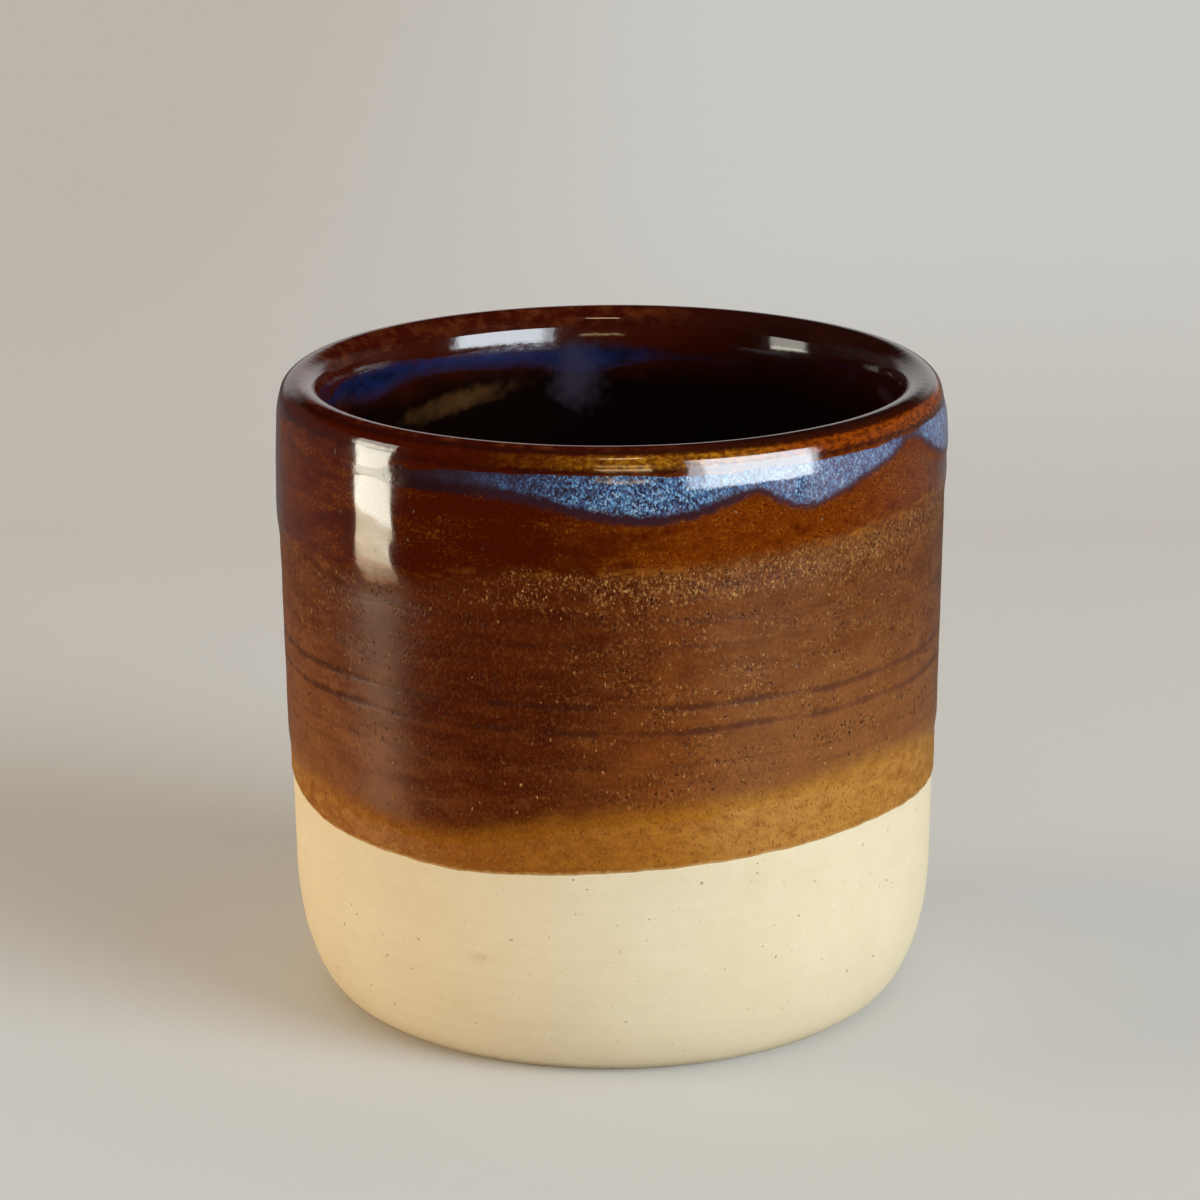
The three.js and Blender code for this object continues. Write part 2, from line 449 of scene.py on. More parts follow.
def mixColour(factor, first, second):
    return Wire(addNode("ShaderNodeMix", {0: factor, 6: first, 7: second}, data_type="RGBA"), 2)


def mixValue(factor, first, second):
    return Wire(addNode("ShaderNodeMix", {0: factor, 2: first, 3: second}, data_type="FLOAT"))


def stretched(vector, across, up=1):
    return vectorCalc("MULTIPLY", {0: vector, 1: (across, across, up)})


def partOf(vector, axis):
    return Wire(addNode("ShaderNodeSeparateXYZ", {0: vector}), axis)


def channels(colour):
    node = addNode("ShaderNodeSeparateColor", {0: colour})
    return [Wire(node, channel) for channel in range(3)]


def noiseNode(vector, size, detail, roughness):
    places = {"Vector": vector, "Scale": 1 / size, "Detail": detail, "Roughness": roughness}
    return addNode("ShaderNodeTexNoise", places)


def cloud(vector, size, detail=2.0, roughness=0.5):
    return Wire(noiseNode(vector, size, detail, roughness))


def threeClouds(vector, size, detail=2.0, roughness=0.5):
    return channels(Wire(noiseNode(vector, size, detail, roughness), "Color"))


def sway(vector, amount, size, detail=2.0, roughness=0.5):
    # a cloud that goes both ways from nothing
    return (cloud(vector, size, detail, roughness) - 0.5) * amount


def bent(vector, amount, scale, detail):
    clouds = addNode("ShaderNodeTexNoise", {"Vector": vector, "Scale": scale, "Detail": detail})
    shift = vectorCalc("SCALE", {0: Wire(clouds, "Color"), "Scale": amount})
    return vectorCalc("ADD", {0: vector, 1: shift})


def cellsOf(vector, scale):
    # the distance from the middle of each cell, and a chance that is the same all over a cell
    cells = addNode("ShaderNodeTexVoronoi", {"Vector": vector, "Scale": scale})
    return Wire(cells), channels(Wire(cells, "Color"))[0]


def colourSteps(factor, stops):
    node = addNode("ShaderNodeValToRGB", {0: factor})
    elements = node.color_ramp.elements
    for place, colour in stops[2:]:
        elements.new(place)
    for element, (place, colour) in zip(sorted(elements, key=lambda e: e.position), stops):
        element.position = place
        element.color = colour
    return Wire(node)


def startGroup(name, outputs, **inputs):
    # every group starts from a position in millimetres; an output called Color is a colour
    group = bpy.data.node_groups.new(name, "ShaderNodeTree")
    group.interface.new_socket("Position", in_out="INPUT", socket_type="NodeSocketVector")
    for label, value in inputs.items():
        kind = "NodeSocketVector" if isinstance(value, tuple) else "NodeSocketFloat"
        group.interface.new_socket(label, in_out="INPUT", socket_type=kind).default_value = value
    for label in outputs:
        kind = "NodeSocketColor" if label == "Color" else "NodeSocketFloat"
        group.interface.new_socket(label, in_out="OUTPUT", socket_type=kind)
    start = group.nodes.new("NodeGroupInput")
    wires = [Wire(start, label) for label in ("Position", *inputs)]
    return wires if inputs else wires[0]


def finishGroup(**outputs):
    group = next(iter(outputs.values())).socket.id_data
    end = group.nodes.new("NodeGroupOutput")
    for label, value in outputs.items():
        feed(end, label, value)
    return group


def useGroup(group, position, **inputs):
    node = addNode("ShaderNodeGroup", {"Position": position, **inputs}, node_tree=group)
    return {socket.name: Wire(node, socket.name) for socket in node.outputs}


def maskOf(group, position, **inputs):
    return useGroup(group, position, **inputs)["Mask"]


# Effects that several glazes share

def makeSpecks():
    position, size, density = startGroup("specks", ["Mask"], Size=0.3, Density=0.3)
    distance, chance = cellsOf(bent(position, 0.45, 3.5, 2.0), 1.0 / size)
    return finishGroup(Mask=calc("LESS_THAN", chance, density) * ramp(distance, 0.2, 0.5, 1.0, 0.0))


def makeBrokenLine():
    position, level, width = startGroup("brokenLine", ["Mask"], Level=30.0, Width=0.4)
    drift = sway(position, 1.1, 16, 1)
    rough = sway(position, 0.55, 0.6, 4, 0.7)
    away = abs(partOf(position, 2) - level + drift + rough)
    strokes = ramp(cloud(stretched(position, 1, 0.3), 3.6, 3, 0.6), 0.36, 0.6, 0.38, 1.0)
    near = ramp(away / ((strokes + 0.35) * width), 0.25, 1.1, 1.0, 0.0)
    return finishGroup(Mask=near * strokes)


def makeSoftSpot():
    position, centre, size = startGroup("softSpot", ["Mask"], Centre=(0, 0, 0), Size=(1, 1, 1))
    offset = vectorCalc("SUBTRACT", {0: position, 1: centre})
    away = vectorCalc("LENGTH", {0: vectorCalc("DIVIDE", {0: offset, 1: size})}, "Value")
    ragged = away + (cloud(position, 1.2, 3) - 0.5)
    return finishGroup(Mask=ramp(ragged, 0.1, 1.1, 1.0, 0.0))


specks = makeSpecks()
brokenLine = makeBrokenLine()
softSpot = makeSoftSpot()


def sideSheenOf(position):
    # 0 in front of the cup and 1 towards both sides, where the glaze is painted paler and greyer: a painted
    # sheen from the light at the sides
    return ramp(abs(partOf(position, 0) + 3.0), 7.0, 16.0)


# Colours of the clay and the glazes

clayLook = {
    "pale": paint(238, 220, 188),
    "deep": paint(229, 208, 172),
    "pinhole": paint(150, 120, 78),
    "smudge": paint(196, 172, 128),
    "smudgePlace": {"Centre": (-12.0, -27.0, 11.6), "Size": (1.6, 1.6, 0.7)},
    "turningHeight": 0.025,
    "sandHeight": 0.025,
    "pinholeDepth": 0.05,
    "roughness": 0.8,
}


def makeClayTone():
    position = startGroup("clayTone", ["Color", "Height"])
    turning = cloud(stretched(position, 0.05, 2.2), 1.0, 3, 0.6)
    patches = cloud(position, 9, 3, 0.55)
    mottle = cloud(position, 1.6, 3, 0.55)
    tone = calc("ADD", (turning + mottle) * 0.25, patches * 0.5, clamp=True)
    colour = mixColour(ramp(tone, 0.25, 0.8), clayLook["deep"], clayLook["pale"])
    holes = maskOf(specks, position, Size=0.42, Density=0.008)
    small = maskOf(specks, position, Size=0.26, Density=0.012)
    pinholes = largest([ramp(holes, 0.5, 1.0), small * 0.5])
    colour = mixColour(pinholes * 0.65, colour, clayLook["pinhole"])
    height = cloud(position, 0.22, 3, 0.6) * clayLook["sandHeight"] + turning * clayLook["turningHeight"]
    return finishGroup(Color=colour, Height=height - pinholes * clayLook["pinholeDepth"])


ochreLook = {
    "body": paint(142, 80, 10),
    # light is the side colour: lightFront with a painted sheen on it
    "light": paint(187, 128, 54),
    "lightFront": paint(178, 113, 28),
    "dark": paint(106, 54, 7),
    "fringe": paint(206, 158, 92),
    "mottleSize": 0.9,
    "gritSize": 0.24,
    "specular": 0.2,
}


def makeOchreTone():
    position, warmth = startGroup("ochreTone", ["Color", "Height"], Warmth=0.3)
    mottle = cloud(stretched(position, 0.6), ochreLook["mottleSize"], 4, 0.6)
    fine, grit, _ = threeClouds(stretched(position, 1, 0.8), ochreLook["gritSize"], 2, 0.6)
    # paler towards both sides: painted sheen
    light = mixColour(sideSheenOf(position), ochreLook["lightFront"], ochreLook["light"])
    colour = mixColour(ramp(mottle + warmth * 0.5, 0.4, 1.0), ochreLook["body"], light)
    colour = mixColour(ramp(fine, 0.54, 0.68, 0.0, 0.7), colour, ochreLook["dark"])
    colour = mixColour(ramp(grit, 0.55, 0.7, 0.0, 0.6), colour, light)
    return finishGroup(Color=colour, Height=fine * -0.012)


satinLook = {
    "red": paint(70, 20, 0),
    "body": paint(88, 34, 1),
    # golden is the side colour: goldenFront with a painted sheen on it
    "golden": paint(137, 82, 43),
    "goldenFront": paint(136, 71, 24),
    # pale flecks, bright specks and dark pits: partly the glaze's own crystals and pits, partly painted
    # glints, lit rims and shade of its rough surface
    "fleckAndLitRim": paint(158, 100, 44),
    "crystalAndGlint": paint(202, 150, 82),
    "pitAndShade": paint(46, 16, 4),
    "line": paint(56, 20, 8),
    "paleLine": paint(82, 44, 34),
    "gritSize": 0.3,
    "crystalSize": 0.2,
    "pitSize": 0.36,
    "lineWidth": 0.36,
    "faintRings": [43.2, 41.0, 30.2, 28.7],
    "faintWidth": 0.22,
    "pitRows": [(31.4, 1.4), (38.6, 1.0), (43.4, 1.6)],  # height and spread
    "specular": 0.17,
}


def makeSatinTone():
    # Band is 1 just under the gloss, where the flecks crowd
    outputs = ["Color", "Roughness", "Height"]
    position, band, warmth = startGroup("satinTone", outputs, Band=0.0, Warmth=0.3)
    x, z = partOf(position, 0), partOf(position, 2)
    layers = cloud(stretched(position, 0.12), 1.1, 3, 0.6)
    colour = mixColour(ramp(layers, 0.3, 0.72), satinLook["red"], satinLook["body"])
    blotch = cloud(stretched(position, 0.5), 1.9, 4, 0.65)
    aside = sideSheenOf(position)
    # golden towards the dip's lower edge, more so at the sides, where the painted sheen is
    lower = ramp(z, 44.0, 25.0, -0.1, 0.34) * (aside * 0.5 + 0.5)
    lower = lower + ramp(x, -15.0, -27.0, 0.0, 0.15)
    golden = mixColour(aside, satinLook["goldenFront"], satinLook["golden"])
    colour = mixColour(ramp(warmth + lower + (blotch - 0.5), 0.0, 1.0), colour, golden)

    # flecks, crystals and holes, thickest in clusters and just under the gloss; the pale flecks and bright
    # specks are partly painted glints and lit rims of the rough relief, and the dark holes partly painted
    # shade
    grainFlow = stretched(position, 1, 0.75)
    light, dark, coarse = threeClouds(grainFlow, satinLook["gritSize"], 4, 0.72)
    clusters = cloud(stretched(position, 0.25), 1.2, 4, 0.65)
    crowd = ramp(clusters, 0.4, 0.62) * (warmth * 1.2 + 0.1)
    thick = band * ramp(clusters + warmth * 0.4, 0.4, 0.62) * ramp(x, -16.0, -6.0, 0.12, 1.0)
    crowd = calc("ADD", crowd, thick, clamp=True)
    colour = mixColour(ramp(light, 0.5, 0.66) * (crowd * 0.84 + 0.14), colour, satinLook["fleckAndLitRim"])
    crystals = thick * 0.36 + 0.003 + crowd * 0.2
    slender = stretched(position, 1, 0.5)
    crystalGlints = maskOf(specks, slender, Size=satinLook["crystalSize"], Density=crystals)
    crystalGlints = crystalGlints * ramp(coarse, 0.4, 0.62, 0.25, 0.95)
    colour = mixColour(crystalGlints, colour, satinLook["crystalAndGlint"])
    colour = mixColour(ramp(dark, 0.5, 0.66) * (crowd * 0.55 + 0.2), colour, satinLook["pitAndShade"])

    # rows of pits, darkened partly with painted shade in the hollows
    rows = largest([ramp(abs(z - level), 0.0, spread, 1.0, 0.0) for level, spread in satinLook["pitRows"]])
    density = (rows * 0.32 + 0.1) * ramp(clusters, 0.43, 0.58)
    pits = maskOf(specks, grainFlow, Size=satinLook["pitSize"], Density=density)
    colour = mixColour(pits * 0.75, colour, satinLook["pitAndShade"])

    # two dark throwing lines and fainter rings
    width = satinLook["lineWidth"]
    lines = [maskOf(brokenLine, position, Level=level, Width=width) for level in throwing["grooves"]]
    for level in satinLook["faintRings"]:
        lines.append(maskOf(brokenLine, position, Level=level, Width=satinLook["faintWidth"]) * 0.35)
    lines = largest(lines)
    lineColour = mixColour(ramp(x, 2.0, 16.0), satinLook["line"], satinLook["paleLine"])
    colour = mixColour(lines * 0.68, colour, lineColour)
    height = (light - dark) * (crowd * 0.04 + 0.01) + (crystalGlints - pits) * 0.025 - lines * 0.02
    roughness = mixValue(ramp(light, 0.3, 0.7), 0.24, 0.3)
    return finishGroup(Color=colour, Roughness=roughness, Height=height)


glossLook = {
    "deep": paint(66, 16, 1),
    "warm": paint(114, 48, 4),
    "orange": paint(158, 92, 22),
    "dark": paint(42, 8, 3),
    "gritSize": 0.22,
    "bubbleSize": 0.5,
    "bubbleDensity": 0.012,
    "bubbleDepth": 0.04,
    "waveHeight": 0.018,
    "coatRoughness": 0.06,
}


def makeGlossTone():
    position, warmth = startGroup("glossTone", ["Color", "Height"], Warmth=0.3)
    layers = cloud(stretched(position, 0.2), 1.2, 3, 0.6)
    blotch = (cloud(position, 1.5, 5, 0.7) - 0.5) * ramp(partOf(position, 0), -8.0, 14.0, 0.3, 2.3)
    warm = warmth * 1.15 + (layers - 0.5) + blotch
    colour = mixColour(ramp(warm, 0.0, 0.8), glossLook["deep"], glossLook["warm"])
    light, dark, _ = threeClouds(stretched(position, 0.8), glossLook["gritSize"], 2, 0.65)
    crowd = ramp(layers + blotch + warmth * 0.25, 0.45, 0.85, 0.04, 0.75)
    colour = mixColour(ramp(light, 0.5, 0.68) * crowd, colour, glossLook["orange"])
    colour = mixColour(ramp(dark, 0.5, 0.68) * crowd, colour, glossLook["dark"])
    bubbles = maskOf(specks, position, Size=glossLook["bubbleSize"], Density=glossLook["bubbleDensity"])
    height = cloud(position, 1.6, 4, 0.55) * glossLook["waveHeight"] - bubbles * glossLook["bubbleDepth"]
    return finishGroup(Color=colour, Height=height)


blueLook = {
    "crystals": [
        (0.0, paint(38, 30, 46)),
        (0.25, paint(48, 54, 84)),
        (0.46, paint(66, 94, 140)),
        (0.66, paint(100, 146, 194)),
        (0.86, paint(130, 172, 212)),
        (1.0, paint(166, 196, 222)),
    ],
    "deep": [
        (0.0, paint(10, 8, 18)),
        (0.4, paint(15, 18, 42)),
        (0.75, paint(26, 40, 88)),
        (1.0, paint(46, 72, 130)),
    ],
    "between": paint(62, 50, 60),
    "lavender": paint(132, 124, 150),
    "crystalSize": 0.155,
    "crystalHeight": 0.65,
}
# a soft pale drip down the far side of the bore, through blue run and liner
drip = {
    "place": {"Centre": (-3.3, 26.0, 52.4), "Size": (3.4, 8.0, 4.4)},
    "onBlue": paint(54, 50, 76),
    "onLiner": paint(54, 46, 58),
}


def makeBlueTone():
    position, strength = startGroup("blueTone", ["Color"], Strength=1.0)
    pools, tint, _ = threeClouds(position, 1.5, 3, 0.55)
    upright = stretched(bent(position, 0.3, 2.5, 3.0), 1, blueLook["crystalHeight"])
    distance, chance = cellsOf(upright, 1 / blueLook["crystalSize"])
    level = (chance * 0.88 + 0.08) * strength + (pools - 0.5) * 0.9
    colour = colourSteps(level, blueLook["crystals"])
    colour = mixColour(ramp(distance, 0.32, 0.75, 0.0, 0.6), colour, blueLook["between"])
    toRight = ramp(partOf(position, 0), 3.0, 29.0, -0.08, 0.36)
    hazy = ramp(tint + toRight, 0.46, 0.68, 0.0, 0.42)
    return finishGroup(Color=mixColour(hazy * strength, colour, blueLook["lavender"]))


def makeDeepBlueTone():
    # the run inside is darker and has no crystals
    position, strength = startGroup("deepBlueTone", ["Color"], Strength=1.0)
    soft = cloud(stretched(position, 0.6), 1.8, 4, 0.6)
    colour = colourSteps(strength + (soft - 0.5) * 0.9, blueLook["deep"])
    dripHere = maskOf(softSpot, position, **drip["place"])
    return finishGroup(Color=mixColour(dripHere, colour, drip["onBlue"]))


amberLook = {
    "gold": paint(184, 120, 26),
    "orange": paint(150, 66, 8),
    "brown": paint(70, 20, 2),
    "red": paint(58, 8, 1),
    "dark": paint(38, 12, 7),
    "topLeft": paint(56, 12, 4),
    "topRight": paint(34, 12, 9),
    "topMottle": paint(102, 48, 22),
    "roughness": 0.09,
}


def makeAmberTone():
    # red on the left, a mottled golden line in front, orange on the right
    position = startGroup("amberTone", ["Color"])
    x, z = partOf(position, 0), partOf(position, 2)
    toGold = ramp(x, -13.0, 8.0, 0.03, 1.0)
    toOrange = ramp(x, 6.0, 18.0)
    streaks, gaps, _ = threeClouds(stretched(position, 1, 0.15), 0.5, 4, 0.65)
    rows, swaying, _ = threeClouds(stretched(position, 0.45), 0.3, 4, 0.7)
    level = z + (swaying - 0.5) * 0.9
    golden = ramp(level, 56.75, 57.25) * ramp(level, 57.95, 58.3, 1.0, 0.1)
    golden = golden * mixValue(toOrange, ramp(streaks, 0.36, 0.6, 0.4, 1.0), 0.9)
    golden = golden * ramp(rows, 0.38, 0.6, 0.2, 1.0)
    bright = mixColour(toOrange, amberLook["gold"], amberLook["orange"])
    base = mixColour(toGold, amberLook["red"], amberLook["brown"])
    colour = mixColour(golden * toGold, base, bright)
    shade = ramp(gaps, 0.35, 0.7, 0.5, 1.0) * ramp(level, 57.25, 56.75, 0.0, 0.8)
    shade = largest([shade, ramp(z, 58.0, 58.35, 0.0, 0.75)])
    return finishGroup(Color=mixColour(shade, colour, amberLook["dark"]))


def makeLipTopTone():
    position = startGroup("lipTopTone", ["Color"])
    toRight = ramp(partOf(position, 0), -2.0, 18.0)
    colour = mixColour(toRight, amberLook["topLeft"], amberLook["topRight"])
    mottle = cloud(stretched(position, 0.6), 1.3, 4, 0.65)
    patches = ramp(mottle, 0.42, 0.72, 0.0, 0.65) * ramp(toRight, 0.0, 0.7, 1.0, 0.1)
    return finishGroup(Color=mixColour(patches, colour, amberLook["topMottle"]))


linerLook = {
    "deep": paint(14, 5, 3),
    "red": paint(60, 16, 5),
    "olive": paint(96, 62, 34),
    "smear": {"Centre": (-15.0, 21.2, 53.3), "Size": (8.5, 7.0, 1.4)},
    "smearClimb": 0.17,
    "roughness": 0.1,
}


def makeLinerTone():
    position = startGroup("linerTone", ["Color"])
    high = ramp(partOf(position, 2) + cloud(position, 3.0, 4, 0.6) * 4, 53.0, 58.5)
    high = high * ramp(partOf(position, 0), 2.0, 18.0, 1.0, 0.2)
    colour = mixColour(high, linerLook["deep"], linerLook["red"])
    dripHere = maskOf(softSpot, position, **drip["place"])
    return finishGroup(Color=mixColour(dripHere, colour, drip["onLiner"]))


clayTone = makeClayTone()
ochreTone = makeOchreTone()
satinTone = makeSatinTone()
glossTone = makeGlossTone()
blueTone = makeBlueTone()
deepBlueTone = makeDeepBlueTone()
amberTone = makeAmberTone()
lipTopTone = makeLipTopTone()
linerTone = makeLinerTone()
print("glaze groups built")


# Materials

def readAttribute(material, name):
    return Wire(addNode("ShaderNodeAttribute", {}, material.node_tree, attribute_name=name), "Fac")


def startMaterial(name, viewColour, *attributes):
    # gives the material, the position in millimetres and the piece's own attributes
    material = bpy.data.materials.new(name)
    material.use_nodes = True
    material.diffuse_color = viewColour
    place = Wire(addNode("ShaderNodeTexCoord", {}, material.node_tree), "Object")
    position = vectorCalc("SCALE", {0: place, "Scale": 1 / mm})
    return material, position, *(readAttribute(material, label) for label in attributes)


def finishMaterial(material, sockets, height=None):
    shader = material.node_tree.nodes["Principled BSDF"]
    for name, value in sockets.items():
        feed(shader, name, value)
    if height:
        bump = addNode("ShaderNodeBump", {"Height": height, "Distance": mm, "Strength": 1.0})
        feed(shader, "Normal", Wire(bump))
    return material


def makeClayMaterial():
    material, position = startMaterial("bareStoneware", clayLook["pale"])
    clay = useGroup(clayTone, position)
    smudge = maskOf(softSpot, position, **clayLook["smudgePlace"])
    colour = mixColour(smudge * 0.3, clay["Color"], clayLook["smudge"])
    sockets = {"Base Color": colour, "Roughness": clayLook["roughness"]}
    return finishMaterial(material, sockets, clay["Height"])


def makeFirstDipMaterial():
    material, position, above, warmth = startMaterial(
        "ochreGlaze", ochreLook["body"], "aboveEdge", "warmth",
    )
    ochre = useGroup(ochreTone, position, Warmth=warmth)
    run = above + sway(position, 0.5, 0.6, 3)
    sockets = {
        "Base Color": mixColour(ramp(run, 0.05, 0.4, 0.8, 0.0), ochre["Color"], ochreLook["fringe"]),
        "Roughness": ramp(run, 0.0, 0.6, 0.6, 0.42),
        "Specular IOR Level": ochreLook["specular"],
    }
    return finishMaterial(material, sockets, ochre["Height"])


def makeSecondDipMaterial():
    material, position, above, belowGloss, warmth = startMaterial(
        "brownGlaze", satinLook["body"], "aboveEdge", "belowGloss", "warmth",
    )
    satin = useGroup(satinTone, position, Band=ramp(belowGloss, 0.2, 1.8, 1.0, 0.0), Warmth=warmth)
    ochre = useGroup(ochreTone, position, Warmth=warmth)
    run = ramp(above + sway(position, 0.9, 1.4, 4), 0.2, 3.0)
    sockets = {
        "Base Color": mixColour(run, ochre["Color"], satin["Color"]),
        "Roughness": satin["Roughness"],
        "Specular IOR Level": satinLook["specular"],
    }
    return finishMaterial(material, sockets, mixValue(run, ochre["Height"], satin["Height"]))


def makeRimDipMaterial():
    material, position, above, warmth = startMaterial(
        "glossBrownGlaze", glossLook["deep"], "aboveEdge", "warmth",
    )
    satin = useGroup(satinTone, position, Band=1.0, Warmth=warmth)
    gloss = useGroup(glossTone, position, Warmth=warmth)
    wobble = sway(position, 1.2, 0.9, 4)
    run = ramp(above + wobble, 1.3, 3.1)
    colour = mixColour(run, satin["Color"], gloss["Color"])
    rimShare = ramp(partOf(position, 2) + wobble, 56.2, 57.0)
    colour = mixColour(rimShare, colour, useGroup(amberTone, position)["Color"])
    veins = ramp(cloud(stretched(position, 0.35), 0.8, 4, 0.65), 0.48, 0.62)
    veins = calc("MULTIPLY", veins * (run * (1.0 - run)), warmth * 3.2 + 0.8, clamp=True)
    glassy = ramp(above + wobble, 1.2, 3.6)
    sockets = {
        "Base Color": mixColour(veins, colour, glossLook["orange"]),
        "Roughness": mixValue(glassy, satin["Roughness"], 0.1),
        "Specular IOR Level": satinLook["specular"],
        "Coat Weight": glassy * 0.9,
        "Coat Roughness": glossLook["coatRoughness"],
    }
    return finishMaterial(material, sockets, mixValue(run, satin["Height"], gloss["Height"]))


# how far above its low edge the run turns smoky and then blue, and how far below its top it fades
blueEdge = {
    "smoke": paint(48, 29, 40),
    "faintSmoke": paint(34, 18, 24),
    "paleSmoke": paint(66, 42, 52),
    "outside": {"smoky": (0.15, 0.9), "crystals": (1.15, 1.9), "fade": 0.65, "roughness": 0.1},
    "inside": {"smoky": (0.2, 2.0), "crystals": (0.4, 2.4), "fade": 1.6, "roughness": 0.12},
}


def makeBlueMaterial(name, side, tones, rim, ground, *groundAttributes):
    edge = blueEdge[side]
    material, position, above, below, strength = startMaterial(
        name, blueLook["crystals"][2][1], "aboveEdge", "belowTop", "strength",
    )
    placed = {label: readAttribute(material, label.lower()) for label in groundAttributes}
    low = above + sway(position, 1.1, 0.7, 5, 0.7)
    toRight = ramp(partOf(position, 0), 6.0, 18.0)
    smoke = ramp(low - toRight * 0.45, *edge["smoky"]) * ramp(strength, 0.0, 0.12, 0.0, 0.9)
    smokeColour = mixColour(ramp(strength, 0.1, 0.5), blueEdge["faintSmoke"], blueEdge["smoke"])
    smokeColour = mixColour(toRight, smokeColour, blueEdge["paleSmoke"])
    colour = mixColour(smoke, useGroup(ground, position, **placed)["Color"], smokeColour)
    crystals = ramp(low, *edge["crystals"]) * ramp(strength, 0.03, 0.4)
    colour = mixColour(crystals, colour, useGroup(tones, position, Strength=strength)["Color"])
    upright = stretched(position, 1, 0.2)
    high = below + sway(upright, 1.2, 0.4, 3, 0.6) + sway(position, 0.9, 3, 2)
    colour = mixColour(ramp(high, 0.05, edge["fade"], 1.0, 0.0), colour, useGroup(rim, position)["Color"])
    sockets = {"Base Color": colour, "Roughness": edge["roughness"]}
    return finishMaterial(material, sockets, cloud(position, 1.1, 2) * 0.02)


def makeLipMaterial():
    material, position, over = startMaterial("amberGlaze", amberLook["gold"], "overLip")
    share = ramp(over + sway(position, 0.16, 1.6, 3), 0.2, 0.34)
    amber, top = (useGroup(tone, position)["Color"] for tone in (amberTone, lipTopTone))
    colour = mixColour(share, amber, top)
    sockets = {"Base Color": colour, "Roughness": amberLook["roughness"]}
    return finishMaterial(material, sockets, cloud(position, 1.3, 2) * 0.02)


def makeLinerMaterial():
    # with a thin pale smear that climbs to the right
    material, position = startMaterial("darkLinerGlaze", linerLook["deep"])
    x, y, z = (partOf(position, axis) for axis in range(3))
    climbing = addNode("ShaderNodeCombineXYZ", {0: x, 1: y, 2: z - x * linerLook["smearClimb"]})
    sheared = Wire(climbing)
    streaky = cloud(stretched(sheared, 0.3), 1.3, 3)
    smear = maskOf(softSpot, sheared, **linerLook["smear"]) * ramp(streaky, 0.3, 0.65, 0.4, 0.72)
    colour = mixColour(smear, useGroup(linerTone, position)["Color"], linerLook["olive"])
    sockets = {"Base Color": colour, "Roughness": linerLook["roughness"]}
    return finishMaterial(material, sockets, cloud(position, 1.6, 2) * 0.02)


materials = {
    "clay": makeClayMaterial(),
    "firstDip": makeFirstDipMaterial(),
    "secondDip": makeSecondDipMaterial(),
    "rimDip": makeRimDipMaterial(),
    "blueOutside": makeBlueMaterial("blueGlazeOutside", "outside", blueTone, amberTone, glossTone, "Warmth"),
    "blueInside": makeBlueMaterial("blueGlazeInside", "inside", deepBlueTone, linerTone, linerTone),
    "lip": makeLipMaterial(),
    "liner": makeLinerMaterial(),
}
print("materials built")


# The clay: foot, heel, wall, lip, bore and floor in one

clay = {
    "columns": 256, "flatRows": 9, "heelRows": 26, "bareRows": 26, "hiddenRows": 8, "lipRows": 10,
    "cornerRows": 9, "bareTop": 24.0, "underLip": 1.3, "sharpAngle": 24,
}
boreLine = [
    (25.7, 14), (25.9, 30), (26.1, 44), (26.2, 50), (26.26, 53.4), (26.34, 55.1), (26.52, 56.3),
    (26.82, 57.3), (27.2, 58.0), (27.6, 58.35),
]
lipLine = [
    (30.3, 57.75), (29.75, 58.38), (28.9, 58.7), (28.2, 58.62), (27.6, 58.35), (27.2, 58.0), (26.82, 57.3),
    (26.52, 56.3),
]


def boreRadius(level):
    line = np.array(boreLine, float)
    return smoothThrough(line[:, 1], line[:, 0], level)


def makeClayBody():
    foot, heelTop, corner = cup["bevelHeight"], cup["heelHeight"], cup["cavityCorner"]
    bend = np.linspace(0, math.pi / 2, clay["heelRows"])
    bareHeights = np.linspace(heelTop, clay["bareTop"], clay["bareRows"])[1:]
    hiddenHeights = np.linspace(clay["bareTop"], lipRow, clay["hiddenRows"])[1:]
    flatEdge = float(clayWall(foot)) - cup["bevelWidth"]
    outline = [(r, 0.0) for r in np.linspace(0, flatEdge, clay["flatRows"])]
    outline += outlinePoints(clayWall, foot + (heelTop - foot) * (1 - np.cos(bend)))
    outline += outlinePoints(clayWall, bareHeights)
    outline += outlinePoints(clayWall, hiddenHeights)
    lipOuter, lipInner = outline[-1][0], float(boreRadius(lipRow)) + coatThickness["liner"]
    middle = (lipOuter + lipInner) / 2
    turns = np.linspace(0, math.pi, clay["lipRows"])[1:-1]
    outline += [
        (middle + (lipOuter - middle) * math.cos(a), lipRow + clay["underLip"] * math.sin(a)) for a in turns
    ]
    boreHeights = np.linspace(lipRow, cavityTurn, clay["hiddenRows"])
    outline += outlinePoints(boreRadius, boreHeights, coatThickness["liner"])
    cornerMiddle = outline[-1][0] - corner
    outline += [
        (cornerMiddle + corner * math.cos(a), cavityTurn - corner * math.sin(a))
        for a in np.linspace(0, math.pi / 2, clay["cornerRows"])[1:]
    ]
    outline.append((0, cup["floorThickness"]))
    body = spunOutline("clayBody", np.array(outline), clay["columns"])
    azimuth, across, level = readPlaces(body)
    outside = (across > clayWall(level) - 0.05) & (level > foot / 2) & (level < lipRow + 0.01)
    across = np.where(outside, across + throwingMarks(azimuth, level), across)
    setPlaces(body, azimuth, across, level)
    settle(body, "clay_body", materials["clay"], clay["sharpAngle"])


makeClayBody()


# The dipped coats outside. Each name under rowsTo is an edge that the rows keep to, and the number the
# height above it that they have reached.

